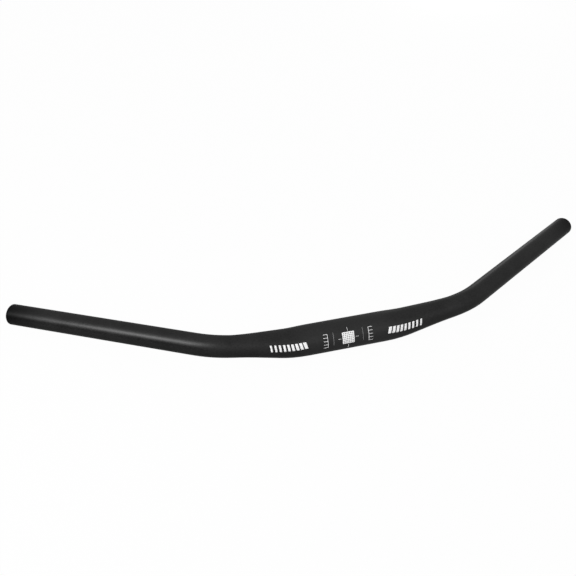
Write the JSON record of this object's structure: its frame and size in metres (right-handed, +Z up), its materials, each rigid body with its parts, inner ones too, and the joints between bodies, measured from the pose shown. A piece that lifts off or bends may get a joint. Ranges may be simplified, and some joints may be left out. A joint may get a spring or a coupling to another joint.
{
  "type": "bicycle handlebar",
  "caption": "Swept-back bicycle handlebar: a bent, butted tube with a thick clamp zone that tapers through rising arms to slim, straight grips with open ends.",
  "frame": {"origin": "middle of the clamp zone, on its axis", "axes": "+X along the clamp axis, to the side of the rider's left hand; +Y back towards the rider; +Z up, with the bar lying on the underside of its clamp zone and on both grip ends"},
  "size_m": [0.6768, 0.1455, 0.0386],
  "materials": {
    "satin_black": "satin black anodised"
  },
  "bodies": {
    "root": {"handlebar": "satin_black"}
  },
  "joints": []
}
